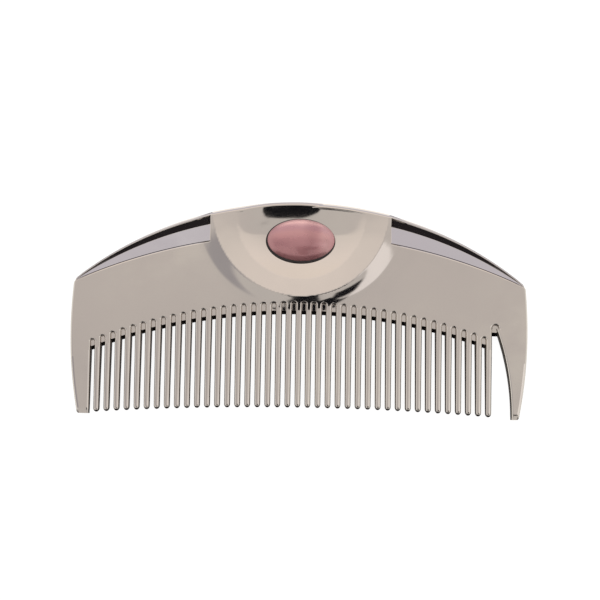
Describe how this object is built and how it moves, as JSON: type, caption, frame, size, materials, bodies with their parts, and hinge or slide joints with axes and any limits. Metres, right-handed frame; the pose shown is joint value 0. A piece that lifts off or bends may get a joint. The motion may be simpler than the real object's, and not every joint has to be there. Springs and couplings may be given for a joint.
{
  "type": "beard comb",
  "caption": "Half-moon polished metal beard comb with fine teeth, a beaked end guard, a round boss on the spine and an oval rose cabochon.",
  "frame": {"origin": "centre of the comb's outline, on its flat back face, which lies on the surface", "axes": "+X along the comb towards the beaked guard, +Y from the tooth tips to the spine, +Z out of the decorated front face"},
  "size_m": [0.12, 0.0564, 0.0059],
  "materials": {
    "polished_metal": "mirror polished and plated, warm nickel tone",
    "rose_stone": "polished dusty rose cabochon, opaque",
    "adhesive": "dark cured epoxy bond line"
  },
  "bodies": {
    "root": {"comb_back": "polished_metal", "guard_left": "polished_metal", "guard_right": "polished_metal", "tooth_01": "polished_metal", "tooth_02": "polished_metal", "tooth_03": "polished_metal", "tooth_04": "polished_metal", "tooth_05": "polished_metal", "tooth_06": "polished_metal", "tooth_07": "polished_metal", "tooth_08": "polished_metal", "tooth_09": "polished_metal", "tooth_10": "polished_metal", "tooth_11": "polished_metal", "tooth_12": "polished_metal", "tooth_13": "polished_metal", "tooth_14": "polished_metal", "tooth_15": "polished_metal", "tooth_16": "polished_metal", "tooth_17": "polished_metal", "tooth_18": "polished_metal", "tooth_19": "polished_metal", "tooth_20": "polished_metal", "tooth_21": "polished_metal", "tooth_22": "polished_metal", "tooth_23": "polished_metal", "tooth_24": "polished_metal", "tooth_25": "polished_metal", "tooth_26": "polished_metal", "tooth_27": "polished_metal", "tooth_28": "polished_metal", "tooth_29": "polished_metal", "tooth_30": "polished_metal", "tooth_31": "polished_metal", "tooth_32": "polished_metal", "tooth_33": "polished_metal", "tooth_34": "polished_metal", "tooth_35": "polished_metal", "tooth_36": "polished_metal", "tooth_37": "polished_metal", "tooth_38": "polished_metal", "tooth_39": "polished_metal", "tooth_40": "polished_metal", "cabochon": "rose_stone", "cabochon_adhesive": "adhesive"}
  },
  "joints": []
}
